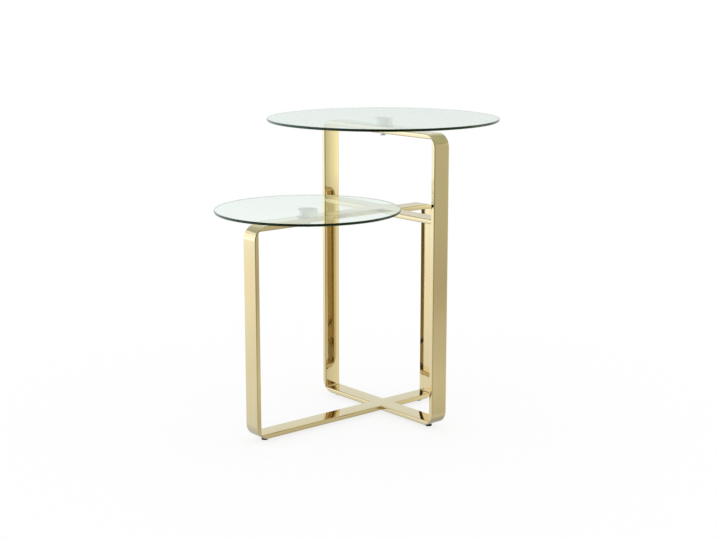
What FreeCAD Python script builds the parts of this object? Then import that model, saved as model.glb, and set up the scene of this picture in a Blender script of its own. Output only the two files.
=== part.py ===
"""Tiered side table: two crossed loops of rectangular steel tube carrying a tall and a low round glass top.

The tall loop stands across the table, in the plane of Y and Z. The low loop runs along it, in the plane
of X and Z, from the front leg (-X) to the back leg (+X). The loops cross at the floor and at the low loop's
top, where a straight rail joins the tall loop's post (+Y) to its leg (-Y). Each glass is bonded to a boss
that one screw holds on its rail.

Frame: +Z up, origin on the floor under the middle of the table's outline. Millimetres.
"""

import FreeCAD, Part
import os
import Sketcher

Vector = FreeCAD.Vector
UP = Vector(0, 0, 1)

# a sketch's own origin, as its constraints name it, and a circle's centre
ORIGIN = (-1, 1)
CENTRE = 3

# ---------------------------------------------------------------- driving sizes

SIZES = (
    ("upper_glass_dia", 457, "upper glass, diameter"),
    ("lower_glass_dia", 356, "lower glass, diameter"),
    ("glass_thick", 5, "both glasses, thickness"),
    ("glass_edge_round", 1.5, "rounding of the glasses' ground edges"),
    ("lower_glass_offset", 190, "from the crossing to the lower glass's centre"),
    ("tube_width", 38, "rectangular tube, broad face"),
    ("tube_thick", 10, "rectangular tube, narrow face"),
    ("tube_wall", 1.2, "rectangular tube, wall"),
    ("tube_edge_round", 1.5, "rectangular tube, rounding of its long edges"),
    ("bend_round", 27.5, "outer radius of the loops' notched and folded bends"),
    ("bend_inner_round", 2, "inner radius of the same bends"),
    ("tall_loop_width", 340, "tall loop, over its post and leg"),
    ("tall_loop_top", 579, "tall loop, top above the floor"),
    ("low_loop_front", 328, "from the crossing to the front leg's outer face"),
    ("low_loop_back", 130.5, "from the crossing to the back leg's outer face"),
    ("low_loop_top", 417.5, "low loop and middle rail, top above the floor"),
    ("foot_height", 6, "underside of the bottom rails above the floor"),
    ("boss_dia", 38, "bonded boss, diameter"),
    ("boss_height", 13, "bonded boss, height"),
    ("boss_chamfer", 0.8, "bonded boss, chamfer of its lower edge"),
    ("boss_roof", 3, "metal left over the boss's blind hole"),
    ("tap_runout", 2.6, "free depth past the screw's tip"),
    ("bond_film_thick", 0.2, "adhesive between boss and glass"),
    ("boss_washer_thick", 1, "nylon washer between boss and rail"),
    ("screw_dia", 8, "glass screw, thread"),
    ("screw_head_dia", 14, "glass screw, button head"),
    ("screw_head_height", 4.4, "glass screw, head height"),
    ("screw_head_round", 3, "glass screw, rounding of its head"),
    ("screw_socket_width", 5, "glass screw, hexagon socket across its flats"),
    ("screw_socket_depth", 2.6, "glass screw, depth of its socket"),
    ("screw_gap", 0.25, "radial gap round the screw in rail, sleeve and washers"),
    ("screw_washer_dia", 16, "steel washer, diameter"),
    ("screw_washer_thick", 1.6, "steel washer, thickness"),
    ("sleeve_dia", 12, "spacer sleeve in the tube, diameter"),
    ("thread_gap", 0.05, "radial gap between a thread and its tapped hole"),
    ("foot_inset", 30, "from a leg's outer face to the foot under it"),
    ("foot_pad_dia", 13, "foot pad, diameter"),
    ("foot_pad_round", 1, "foot pad, rounding of its lower edge"),
    ("stud_dia", 6, "foot stud, thread"),
    ("stud_head_dia", 10, "foot stud, head held in the pad"),
    ("stud_head_height", 3.5, "foot stud, head height"),
    ("stud_end_gap", 0.1, "from the stud's tip to the insert's upper end"),
    ("pad_gap", 0.02, "radial gap round the stud's head in the pad"),
    ("insert_dia", 9, "threaded insert, body"),
    ("insert_flange_dia", 11, "threaded insert, flange under the rail"),
    ("insert_flange_thick", 0.6, "threaded insert, flange thickness"),
    ("insert_end_gap", 0.8, "from the insert to the tube's upper wall"),
    ("insert_gap", 0.05, "radial gap round the insert in the rail"),
    ("drill_runout", 3, "how far the inserts' holes are drilled on past the wall, which curves up beside them"),
    ("end_chamfer", 0.6, "chamfer of the screws' and studs' tips"),
)

# ---------------------------------------------------------------- places worked out from the sizes

# the loops' crossing, so that the origin is under the middle of the two glasses' common outline
CROSSING_X = "(Sizes.lower_glass_offset + (Sizes.lower_glass_dia - Sizes.upper_glass_dia) / 2) / 2"

BOTTOM_RAIL_TOP = "Sizes.foot_height + Sizes.tube_thick"
HALF_TUBE = "Sizes.tube_width / 2"
SCREW_HOLE_RADIUS = "Sizes.screw_dia / 2 + Sizes.screw_gap"
PAD_HEIGHT = "Sizes.foot_height - Sizes.insert_flange_thick"
INSERT_LENGTH = "Sizes.tube_thick - Sizes.tube_wall - Sizes.insert_end_gap"
STUD_REACH = f"Sizes.insert_flange_thick + {INSERT_LENGTH} - Sizes.stud_end_gap"
TAPPED_DEPTH = "Sizes.boss_height - Sizes.boss_roof"
SCREW_LENGTH = (
    "Sizes.screw_washer_thick + Sizes.tube_thick + Sizes.boss_washer_thick"
    f" + {TAPPED_DEPTH} - Sizes.tap_runout"
)

# each tier: its name, the glass's size, its place along X and the top of its rail
TIERS = (
    ("upper", "Sizes.upper_glass_dia", CROSSING_X, "Sizes.tall_loop_top"),
    ("lower", "Sizes.lower_glass_dia", f"{CROSSING_X} - Sizes.lower_glass_offset", "Sizes.low_loop_top"),
)

# each foot's place from the crossing, along X and Y
FEET = (
    ("front", "Sizes.foot_inset - Sizes.low_loop_front", "0"),
    ("back", "Sizes.low_loop_back - Sizes.foot_inset", "0"),
    ("left", "0", "Sizes.tall_loop_width / 2 - Sizes.foot_inset"),
    ("right", "0", "Sizes.foot_inset - Sizes.tall_loop_width / 2"),
)

doc = FreeCAD.newDocument("TieredSideTable")
sheet = doc.addObject("Spreadsheet::Sheet", "Sizes")
for row, (alias, number, note) in enumerate(SIZES, start=1):
    sheet.set(f"A{row}", note)
    sheet.set(f"B{row}", str(number))
    sheet.setAlias(f"B{row}", alias)
doc.recompute()

bodies = []


def size(expression):
    """The number that an expression on the sheet gives, for a sketch's starting geometry."""
    return float(sheet.evalExpression(expression))


# ---------------------------------------------------------------- bodies, sketches and features


def new_body(name, x="0", y="0", z="0"):
    """An empty body, which names its file, placed by expressions."""
    body = doc.addObject("PartDesign::Body", name)
    body.Label = name
    for axis, expression in zip("xyz", (x, y, z)):
        body.setExpression(f".Placement.Base.{axis}", expression)
    bodies.append(body)
    return body


def new_sketch(body, name, plane, offset="0"):
    """A sketch on one of the body's own planes, moved along that plane's normal."""
    sketch = body.newObject("Sketcher::SketchObject", f"{body.Name}_{name}")
    support = next(item for item in body.Origin.OriginFeatures if item.Role == plane)
    sketch.AttachmentSupport = (support, "")
    sketch.MapMode = "FlatFace"
    sketch.setExpression(".AttachmentOffset.Base.z", offset)
    return sketch


def new_feature(body, kind, name, sketch):
    """A PartDesign feature made from a sketch, at the end of the body."""
    feature = body.newObject(f"PartDesign::{kind}", f"{body.Name}_{name}")
    feature.Profile = sketch
    return feature


def bind_distance(sketch, kind, geometry, point, expression):
    """Dimensions a point of the sketch from its origin by an expression."""
    constraint = Sketcher.Constraint(kind, *ORIGIN, geometry, point, size(expression))
    index = sketch.addConstraint(constraint)
    sketch.renameConstraint(index, f"length_{index}")
    sketch.setExpression(f"Constraints.length_{index}", expression)


def bind_radius(sketch, geometry, expression):
    """Dimensions a circle's or arc's radius by an expression."""
    index = sketch.addConstraint(Sketcher.Constraint("Radius", geometry, size(expression)))
    sketch.renameConstraint(index, f"radius_{index}")
    sketch.setExpression(f"Constraints.radius_{index}", expression)


def end_at(sketch, geometry, place):
    """Which end of a line or arc lies at a place: 1 for its start, 2 for its end."""
    near_start = sketch.getPoint(geometry, 1).distanceToPoint(place)
    near_end = sketch.getPoint(geometry, 2).distanceToPoint(place)
    return 1 if near_start < near_end else 2


def add_outline(sketch, corners):
    """A closed outline of lines along the sketch's axes through corners given as expressions.

    Each corner is (across, up), or (across, up, radius) where a tangent arc rounds it."""
    places = [Vector(size(corner[0]), size(corner[1]), 0) for corner in corners]
    bends = [corner[2] if len(corner) > 2 else None for corner in corners]
    radii = [size(bend) if bend else 0 for bend in bends]
    lines = []
    for run, (across, up, *_) in enumerate(corners):
        following = (run + 1) % len(corners)
        along = (places[following] - places[run]).normalize()
        start = places[run] + along * radii[run]
        end = places[following] - along * radii[following]
        lines.append(sketch.addGeometry(Part.LineSegment(start, end)))
        upright = abs(along.x) < abs(along.y)
        sketch.addConstraint(Sketcher.Constraint("Vertical" if upright else "Horizontal", lines[-1]))
        axis, expression = ("DistanceX", across) if upright else ("DistanceY", up)
        bind_distance(sketch, axis, lines[-1], 1, expression)
    for run, bend in enumerate(bends):
        before, after = lines[run - 1], lines[run]
        if not bend:
            sketch.addConstraint(Sketcher.Constraint("Coincident", before, 2, after, 1))
            continue
        start, end = sketch.getPoint(before, 2), sketch.getPoint(after, 1)
        centre = start + end - places[run]
        middle = centre + (places[run] - centre).normalize() * radii[run]
        arc = sketch.addGeometry(Part.Arc(start, middle, end))
        first, last = end_at(sketch, arc, start), end_at(sketch, arc, end)
        sketch.addConstraint(Sketcher.Constraint("Tangent", before, 2, arc, first))
        sketch.addConstraint(Sketcher.Constraint("Tangent", arc, last, after, 1))
        bind_radius(sketch, arc, bend)


def add_circle(sketch, radius, across="0", up="0"):
    """A circle whose radius and centre are expressions."""
    centre = Vector(size(across), size(up), 0)
    circle = sketch.addGeometry(Part.Circle(centre, UP, size(radius)))
    bind_radius(sketch, circle, radius)
    bind_distance(sketch, "DistanceX", circle, CENTRE, across)
    bind_distance(sketch, "DistanceY", circle, CENTRE, up)


def add_hexagon(sketch, across_flats):
    """A regular hexagon round the sketch's origin, held by the circle through its corners."""
    corner_radius = f"{across_flats} / sqrt(3)"
    first_corner = Vector(size(corner_radius), 0, 0)
    corners = [FreeCAD.Rotation(UP, 60 * turn).multVec(first_corner) for turn in range(7)]
    circle = sketch.addGeometry(Part.Circle(Vector(), UP, first_corner.x), True)
    sketch.addConstraint(Sketcher.Constraint("Coincident", circle, CENTRE, *ORIGIN))
    bind_radius(sketch, circle, corner_radius)
    sides = [sketch.addGeometry(Part.LineSegment(*ends)) for ends in zip(corners, corners[1:])]
    for side, following in zip(sides, sides[1:] + sides[:1]):
        sketch.addConstraint(Sketcher.Constraint("Coincident", side, 2, following, 1))
        sketch.addConstraint(Sketcher.Constraint("PointOnObject", side, 1, circle))
    for side in sides[1:]:
        sketch.addConstraint(Sketcher.Constraint("Equal", sides[0], side))
    sketch.addConstraint(Sketcher.Constraint("PointOnObject", sides[0], 1, ORIGIN[0]))


def pad(body, name, sketch, length, symmetric=False):
    """A solid that stands on the sketch's outline, or is centred on it."""
    feature = new_feature(body, "Pad", name, sketch)
    feature.setExpression("Length", length)
    feature.SideType = "Symmetric" if symmetric else "One side"
    return feature


def pocket(body, name, sketch, length, upward=False, symmetric=False):
    """Cuts a sketch's outline into the body, against its normal, along it or both, and tests that it cut."""
    doc.recompute()
    volume_before = body.Shape.Volume
    feature = new_feature(body, "Pocket", name, sketch)
    feature.setExpression("Length", length)
    feature.Reversed = upward
    feature.SideType = "Symmetric" if symmetric else "One side"
    doc.recompute()
    if not body.Shape.Volume < volume_before:
        raise RuntimeError(f"{feature.Name} cuts nothing")


def revolve(body, name, corners):
    """A solid turned about the body's Z axis from an outline of radii and heights."""
    sketch = new_sketch(body, f"{name}_outline", "XZ_Plane")
    add_outline(sketch, corners)
    feature = new_feature(body, "Revolution", name, sketch)
    feature.ReferenceAxis = (sketch, ["V_Axis"])
    feature.Angle = 360
    return feature


def dress(body, kind, name, base, amount, wanted):
    """A Fillet or Chamfer of the base's edges that pass a test."""
    doc.recompute()
    edges = [f"Edge{i}" for i, edge in enumerate(base.Shape.Edges, start=1) if wanted(edge)]
    if not edges:
        raise RuntimeError(f"{body.Name}_{name} has no edges")
    feature = body.newObject(f"PartDesign::{kind}", f"{body.Name}_{name}")
    feature.Base = (base, edges)
    feature.setExpression("Radius" if kind == "Fillet" else "Size", amount)
    return feature


def circle_at(height, radius):
    """A test for the circular edge of this radius at this height in its body."""

    def wanted(edge):
        curve = edge.Curve
        if not isinstance(curve, Part.Circle):
            return False
        return abs(curve.Center.z - size(height)) < 1e-6 and abs(curve.Radius - size(radius)) < 1e-6

    return wanted


# ---------------------------------------------------------------- frame

# the planes that the loops stand in: the way through each, and the way along it
PLANES = {
    "YZ_Plane": (Vector(1, 0, 0), Vector(0, 1, 0)),
    "XZ_Plane": (Vector(0, 1, 0), Vector(1, 0, 0)),
}


def add_tube_section(sketch, rail_top):
    """The hollow section of a level rail, with its broad faces level."""

    def rectangle(inset, *rounding):
        left, right = f"{inset} - {HALF_TUBE}", f"{HALF_TUBE} - {inset}"
        low, high = f"{rail_top} - Sizes.tube_thick + {inset}", f"{rail_top} - {inset}"
        return [(*corner, *rounding) for corner in ((left, low), (right, low), (right, high), (left, high))]

    add_outline(sketch, rectangle("0", "Sizes.tube_edge_round"))
    add_outline(sketch, rectangle("Sizes.tube_wall"))


def bent_loop(name, plane, reach_low, reach_high, cut_rail_top, far_rail_top, cut_is_high=False):
    """A tube folded round an upright rectangle, given by its outer faces from the crossing.

    It starts and ends on the sides of the other bar at the crossing, in the middle of its cut rail.
    It was notched on the inside before it was folded, so its inner faces meet in tight corners."""
    body = new_body(name, x=CROSSING_X)

    def outline(inset, outer_round, inner_round):
        cut, near_cut = f"{cut_rail_top} - Sizes.tube_thick + {inset}", f"{cut_rail_top} - {inset}"
        near_far, far = f"{far_rail_top} - Sizes.tube_thick + {inset}", f"{far_rail_top} - {inset}"
        if cut_is_high:
            cut, near_cut, near_far, far = near_cut, cut, far, near_far
        left, near_left = f"{inset} - {reach_low}", f"Sizes.tube_thick - {inset} - {reach_low}"
        right, near_right = f"{reach_high} - {inset}", f"{reach_high} - Sizes.tube_thick + {inset}"
        return (
            (HALF_TUBE, cut),
            (right, cut, outer_round),
            (right, far, outer_round),
            (left, far, outer_round),
            (left, cut, outer_round),
            (f"-{HALF_TUBE}", cut),
            (f"-{HALF_TUBE}", near_cut),
            (near_left, near_cut, inner_round),
            (near_left, near_far, inner_round),
            (near_right, near_far, inner_round),
            (near_right, near_cut, inner_round),
            (HALF_TUBE, near_cut),
        )

    def is_long(edge):
        """Whether an edge runs along the bar, in one of its side faces and not at a cut end."""
        across, along, half_tube = PLANES[plane][0], PLANES[plane][1], size(HALF_TUBE)
        from_side = abs(edge.CenterOfMass.dot(across)) - half_tube
        from_end = abs(edge.CenterOfMass.dot(along)) - half_tube
        return abs(from_side) < 1e-6 and abs(from_end) > 1e-6

    bar_outline = new_sketch(body, "bar_outline", plane)
    add_outline(bar_outline, outline("0", "Sizes.bend_round", "Sizes.bend_inner_round"))
    bar = pad(body, "bar", bar_outline, "Sizes.tube_width", symmetric=True)
    dress(body, "Fillet", "long_edges", bar, "Sizes.tube_edge_round", is_long)
    bore_outline = new_sketch(body, "bore_outline", plane)
    outer_round = "Sizes.bend_round - Sizes.tube_wall"
    inner_round = "Sizes.bend_inner_round + Sizes.tube_wall"
    add_outline(bore_outline, outline("Sizes.tube_wall", outer_round, inner_round))
    pocket(body, "bore", bore_outline, "Sizes.tube_width - 2 * Sizes.tube_wall", symmetric=True)
    return body


def drill_screw_hole(body, x, rail_top):
    """The screw's hole through both walls of the rail under a glass."""
    sketch = new_sketch(body, "screw_hole_outline", "XY_Plane", rail_top)
    add_circle(sketch, SCREW_HOLE_RADIUS, across=x)
    pocket(body, "screw_hole", sketch, "Sizes.tube_thick")


def drill_insert_holes(body, feet):
    """The threaded inserts' holes in the lower wall of a bottom rail."""
    sketch = new_sketch(body, "insert_hole_outlines", "XY_Plane", "Sizes.foot_height")
    for _, x, y in feet:
        add_circle(sketch, "Sizes.insert_dia / 2 + Sizes.insert_gap", x, y)
    pocket(body, "insert_holes", sketch, "Sizes.tube_wall + Sizes.drill_runout", upward=True)


tall_loop = bent_loop(
    "tall_loop",
    "YZ_Plane",
    reach_low="Sizes.tall_loop_width / 2",
    reach_high="Sizes.tall_loop_width / 2",
    cut_rail_top=BOTTOM_RAIL_TOP,
    far_rail_top="Sizes.tall_loop_top",
)
drill_screw_hole(tall_loop, "0", "Sizes.tall_loop_top")
drill_insert_holes(tall_loop, FEET[2:])

low_loop = bent_loop(
    "low_loop",
    "XZ_Plane",
    reach_low="Sizes.low_loop_front",
    reach_high="Sizes.low_loop_back",
    cut_rail_top="Sizes.low_loop_top",
    far_rail_top=BOTTOM_RAIL_TOP,
    cut_is_high=True,
)
drill_screw_hole(low_loop, "-Sizes.lower_glass_offset", "Sizes.low_loop_top")
drill_insert_holes(low_loop, FEET[:2])

mid_rail = new_body("mid_rail", x=CROSSING_X)
mid_rail_section = new_sketch(mid_rail, "section", "XZ_Plane")
add_tube_section(mid_rail_section, "Sizes.low_loop_top")
pad(mid_rail, "tube", mid_rail_section, "Sizes.tall_loop_width - 2 * Sizes.tube_thick", symmetric=True)

for name, x, y in FEET:
    insert = new_body(f"{name}_foot_insert", f"{CROSSING_X} + {x}", y, "Sizes.foot_height")
    bore = "Sizes.stud_dia / 2 + Sizes.thread_gap"
    shank = "Sizes.insert_dia / 2"
    flange = "Sizes.insert_flange_dia / 2"
    underside = "-Sizes.insert_flange_thick"
    revolve(
        insert,
        "turned",
        (
            (bore, underside),
            (flange, underside),
            (flange, "0"),
            (shank, "0"),
            (shank, INSERT_LENGTH),
            (bore, INSERT_LENGTH),
        ),
    )

# ---------------------------------------------------------------- glasses and what holds them


def ring(name, x, z, outer_radius, inner_radius, height):
    """A flat ring, such as a washer or a sleeve."""
    body = new_body(name, x=x, z=z)
    sketch = new_sketch(body, "outline", "XY_Plane")
    add_circle(sketch, outer_radius)
    add_circle(sketch, inner_radius)
    pad(body, "ring", sketch, height)


def disc(name, x, z, radius, height):
    """A round plate, and the feature that makes it."""
    body = new_body(name, x=x, z=z)
    sketch = new_sketch(body, "outline", "XY_Plane")
    add_circle(sketch, radius)
    return body, pad(body, "disc", sketch, height)


def glass_top(tier, diameter, x, z):
    """A glass disc with both edges ground round."""
    body, plate = disc(f"{tier}_glass", x, z, f"{diameter} / 2", "Sizes.glass_thick")
    rim = f"{diameter} / 2"
    dress(body, "Fillet", "lower_edge", plate, "Sizes.glass_edge_round", circle_at("0", rim))
    dress(
        body,
        "Fillet",
        "upper_edge",
        body.Tip,
        "Sizes.glass_edge_round",
        circle_at("Sizes.glass_thick", rim),
    )


def bonded_boss(tier, x, z):
    """The boss glued under a glass, with a blind tapped hole from below."""
    body, plate = disc(f"{tier}_boss", x, z, "Sizes.boss_dia / 2", "Sizes.boss_height")
    dress(body, "Chamfer", "lower_edge", plate, "Sizes.boss_chamfer", circle_at("0", "Sizes.boss_dia / 2"))
    sketch = new_sketch(body, "tapped_hole_outline", "XY_Plane")
    add_circle(sketch, "Sizes.screw_dia / 2 + Sizes.thread_gap")
    pocket(body, "tapped_hole", sketch, TAPPED_DEPTH, upward=True)


def glass_screw(tier, x, z):
    """A button head screw. Its own origin is under its head's seat."""
    body = new_body(f"{tier}_screw", x=x, z=z)
    shank, head, crown = "Sizes.screw_dia / 2", "Sizes.screw_head_dia / 2", "-Sizes.screw_head_height"
    corners = (
        ("0", crown),
        (head, crown),
        (head, "0"),
        (shank, "0"),
        (shank, SCREW_LENGTH),
        ("0", SCREW_LENGTH),
    )
    turned = revolve(body, "turned", corners)
    dress(body, "Fillet", "button", turned, "Sizes.screw_head_round", circle_at(crown, head))
    dress(body, "Chamfer", "tip", body.Tip, "Sizes.end_chamfer", circle_at(SCREW_LENGTH, shank))
    sketch = new_sketch(body, "socket_outline", "XY_Plane", crown)
    add_hexagon(sketch, "Sizes.screw_socket_width")
    pocket(body, "socket", sketch, "Sizes.screw_socket_depth", upward=True)


for tier, glass_dia, x, rail_top in TIERS:
    rail_bottom = f"{rail_top} - Sizes.tube_thick"
    boss_bottom = f"{rail_top} + Sizes.boss_washer_thick"
    boss_top = f"{boss_bottom} + Sizes.boss_height"
    screw_seat = f"{rail_bottom} - Sizes.screw_washer_thick"
    inner_height = "Sizes.tube_thick - 2 * Sizes.tube_wall"
    glass_top(tier, glass_dia, x, f"{boss_top} + Sizes.bond_film_thick")
    disc(f"{tier}_bond_film", x, boss_top, "Sizes.boss_dia / 2", "Sizes.bond_film_thick")
    bonded_boss(tier, x, boss_bottom)
    ring(
        f"{tier}_boss_washer",
        x,
        rail_top,
        "Sizes.boss_dia / 2",
        SCREW_HOLE_RADIUS,
        "Sizes.boss_washer_thick",
    )
    ring(
        f"{tier}_rail_sleeve",
        x,
        f"{rail_bottom} + Sizes.tube_wall",
        "Sizes.sleeve_dia / 2",
        SCREW_HOLE_RADIUS,
        inner_height,
    )
    ring(
        f"{tier}_screw_washer",
        x,
        screw_seat,
        "Sizes.screw_washer_dia / 2",
        SCREW_HOLE_RADIUS,
        "Sizes.screw_washer_thick",
    )
    glass_screw(tier, x, screw_seat)

# ---------------------------------------------------------------- levelling feet

for name, x, y in FEET:
    place = (f"{CROSSING_X} + {x}", y)
    rim, seat = "Sizes.foot_pad_dia / 2", "Sizes.stud_head_dia / 2 + Sizes.pad_gap"
    floor = f"{PAD_HEIGHT} - Sizes.stud_head_height"
    foot_pad = new_body(f"{name}_foot_pad", *place)
    corners = (("0", "0"), (rim, "0"), (rim, PAD_HEIGHT), (seat, PAD_HEIGHT), (seat, floor), ("0", floor))
    cup = revolve(foot_pad, "cup", corners)
    dress(foot_pad, "Fillet", "lower_edge", cup, "Sizes.foot_pad_round", circle_at("0", rim))

    foot_stud = new_body(f"{name}_foot_stud", *place, floor)
    head, shank = "Sizes.stud_head_dia / 2", "Sizes.stud_dia / 2"
    tip = f"Sizes.stud_head_height + {STUD_REACH}"
    corners = (
        ("0", "0"),
        (head, "0"),
        (head, "Sizes.stud_head_height"),
        (shank, "Sizes.stud_head_height"),
        (shank, tip),
        ("0", tip),
    )
    turned = revolve(foot_stud, "turned", corners)
    dress(foot_stud, "Chamfer", "tip", turned, "Sizes.end_chamfer", circle_at(tip, shank))

# ---------------------------------------------------------------- tests and files

doc.recompute()
for item in doc.Objects:
    if "Invalid" in item.State or "Error" in item.State:
        raise RuntimeError(f"{item.Name} failed: {item.State}")
for body in bodies:
    if body.Shape.isNull() or not body.Shape.isValid() or len(body.Shape.Solids) != 1:
        raise RuntimeError(f"{body.Label} is not one valid solid")

os.makedirs("parts", exist_ok=True)
for body in bodies:
    body.Shape.exportStep(os.path.join("parts", f"{body.Label}.step"))
    print(f"{body.Label}: {body.Shape.Volume:.1f} mm3")
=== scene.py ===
"""Looks of the tiered side table: polished gold tube, clear glass tops, fastenings and levelling feet.

Sizes are written in millimetres, in the record's frame, and MM scales them to Blender's metres.
The studio and the camera are in metres.
"""

import math

import bpy
from mathutils import Matrix, Vector


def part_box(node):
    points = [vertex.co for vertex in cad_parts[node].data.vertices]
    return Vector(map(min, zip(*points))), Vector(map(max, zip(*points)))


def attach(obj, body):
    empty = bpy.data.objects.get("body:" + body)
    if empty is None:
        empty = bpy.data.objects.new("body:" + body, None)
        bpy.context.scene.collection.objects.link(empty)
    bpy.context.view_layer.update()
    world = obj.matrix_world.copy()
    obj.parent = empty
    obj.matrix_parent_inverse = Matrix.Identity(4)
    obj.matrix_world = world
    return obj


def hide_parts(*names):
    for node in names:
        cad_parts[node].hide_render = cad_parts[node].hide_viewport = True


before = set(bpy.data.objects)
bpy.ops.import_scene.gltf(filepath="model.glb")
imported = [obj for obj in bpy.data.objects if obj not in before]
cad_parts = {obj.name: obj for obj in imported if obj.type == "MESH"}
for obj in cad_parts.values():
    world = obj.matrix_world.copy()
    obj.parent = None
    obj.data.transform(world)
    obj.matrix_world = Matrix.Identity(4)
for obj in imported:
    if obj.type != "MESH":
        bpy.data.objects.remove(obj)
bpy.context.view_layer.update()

MM = 0.001
TURN = 2 * math.pi
QUARTER_TURN = math.pi / 2

# ---------------------------------------------------------------- sizes in millimetres

# the two loops cross here, on the X axis
CROSSING_X = 69.75

TUBE_WIDTH, TUBE_THICK = 38, 10
# polishing leaves the edges a little rounder than the CAD's 1.5
TUBE_EDGE = 2
# how far the rolled tube's faces bulge in their middle
BROAD_CROWN, NARROW_CROWN = 0.18, 0.05
BEND_ROUND, BEND_INNER_ROUND = 27.5, 2
# a butted end runs on past the other bar's rounded edge, and dips below its face
BUTT_OVERLAP, BUTT_DIP = 0.1, 0.02
# the weld's size along each of its two faces, and how far its root lies inside the corner
WELD_LEG, WELD_SUNK = 1.3, 0.1

FOOT_HEIGHT, FOOT_INSET = 6, 30
# the outer faces of the tall loop, along Y and on top, and of the low loop, along X and on top
TALL_REACH, TALL_TOP = 170, 579
LOW_FRONT, LOW_BACK, LOW_TOP = CROSSING_X - 328, CROSSING_X + 130.5, 417.5

# the lower glass's centre lies forward of the crossing
UPPER_GLASS_RADIUS, LOWER_GLASS_RADIUS, LOWER_GLASS_FORWARD = 228.5, 178, 190
GLASS_THICK, GLASS_EDGE = 5, 1.5
# how much of the rounded edge has the full look of the ground rim
GLASS_GROUND_SHARE = 0.8
BOSS_RADIUS, BOSS_HEIGHT, BOSS_CHAMFER, BOSS_TOP_ROUND = 19, 13, 0.8, 0.3
FILM_THICK, FILM_INSET = 0.2, 0.1
BOSS_WASHER_THICK, WASHER_EDGE = 1, 0.2
SCREW_WASHER_RADIUS, SCREW_WASHER_THICK, SCREW_HOLE_RADIUS = 8, 1.6, 4.25

SCREW_RADIUS, SCREW_LENGTH, SCREW_PLAIN_LENGTH = 4, 20, 3.5
SCREW_THREAD_DEPTH, SCREW_PITCH = 0.62, 1.25
SCREW_TIP_HEIGHT, SCREW_TIP_TAPER = 0.6, 0.7
SCREW_HEAD_RADIUS, SCREW_HEAD_HEIGHT, SCREW_HEAD_ROUND = 7, 4.4, 3
SOCKET_FLATS, SOCKET_DEPTH, SOCKET_POINT = 5, 2.6, 0.6
SOCKET_MOUTH_DEPTH, SOCKET_MOUTH_FLARE = 0.25, 0.3

STUD_RADIUS, STUD_HEAD_RADIUS, STUD_HEAD_HEIGHT, STUD_TIP = 3, 5, 3.5, 0.6
STUD_THREAD_DEPTH, STUD_PITCH = 0.5, 1
PAD_RADIUS, PAD_HEIGHT, PAD_SEAT_RADIUS = 6.5, 5.4, 5.02
PAD_FOOT_ROUND, PAD_TOP_ROUND = 1, 0.3
INSERT_RADIUS, INSERT_LENGTH, INSERT_BORE = 4.5, 8, 3.05
INSERT_FLANGE_RADIUS, INSERT_FLANGE_THICK, INSERT_EDGE = 5.5, 0.6, 0.1

# how steep a thread's flanks are and how flat its root is, and the share of its depth to which
# its ends are cut
THREAD_FLANK, THREAD_ROOT, THREAD_RUNOUT = 1.25, 0.12, 0.15

# each tier: its centre along X, its glass's radius and the top of its rail
TIERS = {
    "upper": (CROSSING_X, UPPER_GLASS_RADIUS, TALL_TOP),
    "lower": (CROSSING_X - LOWER_GLASS_FORWARD, LOWER_GLASS_RADIUS, LOW_TOP),
}
FEET = {
    "front": (LOW_FRONT + FOOT_INSET, 0),
    "back": (LOW_BACK - FOOT_INSET, 0),
    "left": (CROSSING_X, TALL_REACH - FOOT_INSET),
    "right": (CROSSING_X, FOOT_INSET - TALL_REACH),
}

# ---------------------------------------------------------------- mesh building


class Skin:
    """Faces in millimetres, each corner with its own normal, that share vertices where they meet."""

    def __init__(self):
        self.places = {}
        self.coords = []
        self.faces = []
        self.normals = []
        self.runs = []

    def vertex(self, point):
        key = tuple(round(c, 4) for c in point)
        if key not in self.places:
            self.places[key] = len(self.coords)
            self.coords.append(Vector(point) * MM)
        return self.places[key]

    def face(self, corners):
        """Adds a face whose corners go counter-clockwise, seen from outside.

        A corner is (point, normal) or (point, normal, (run, girth)). Blender works out a normal
        that is None, and a corner with no run takes its point's X and Y."""
        kept = []
        for corner in corners:
            number = self.vertex(corner[0])
            if number not in [k[0] for k in kept]:
                kept.append((number, corner))
        if len(kept) < 3:
            return
        self.faces.append([k[0] for k in kept])
        for _, corner in kept:
            self.normals.append(Vector(corner[1]).normalized() if corner[1] else Vector())
            self.runs.append(corner[2] if len(corner) > 2 else (corner[0][0], corner[0][1]))

    def grid(self, rows, flip=False):
        """Adds the faces between rows of corners."""
        for low, high in zip(rows, rows[1:]):
            for i in range(len(low) - 1):
                corners = [low[i], low[i + 1], high[i + 1], high[i]]
                self.face(corners[::-1] if flip else corners)

    def to_object(self, name, material):
        """Makes a smooth piece, with the corners' own normals and the runs as a UV layer."""
        mesh = bpy.data.meshes.new(name)
        mesh.from_pydata(self.coords, [], self.faces)
        layer = mesh.uv_layers.new(name="Run")
        for loop, run in zip(layer.data, self.runs):
            loop.uv = (run[0] * MM, run[1] * MM)
        mesh.polygons.foreach_set("use_smooth", [True] * len(mesh.polygons))
        mesh.normals_split_custom_set(self.normals)
        mesh.materials.append(material)
        mesh.validate()
        piece = bpy.data.objects.new(name, mesh)
        bpy.context.scene.collection.objects.link(piece)
        return piece


def line(start, end, steps=1):
    """A straight stretch of an outline, with its normal on the right.

    Its points are (across, up, normal across, normal up)."""
    (x0, y0), (x1, y1) = start, end
    length = math.hypot(x1 - x0, y1 - y0)
    nx, ny = (y1 - y0) / length, (x0 - x1) / length
    found = []
    for i in range(steps + 1):
        found.append((x0 + (x1 - x0) * i / steps, y0 + (y1 - y0) * i / steps, nx, ny))
    return found


def arc(centre, radius, start, end, steps=6):
    """A round stretch of an outline, its angles in degrees and its normals outwards."""
    found = []
    for i in range(steps + 1):
        a = math.radians(start + (end - start) * i / steps)
        c, s = math.cos(a), math.sin(a)
        found.append((centre[0] + radius * c, centre[1] + radius * s, c, s))
    return found


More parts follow.
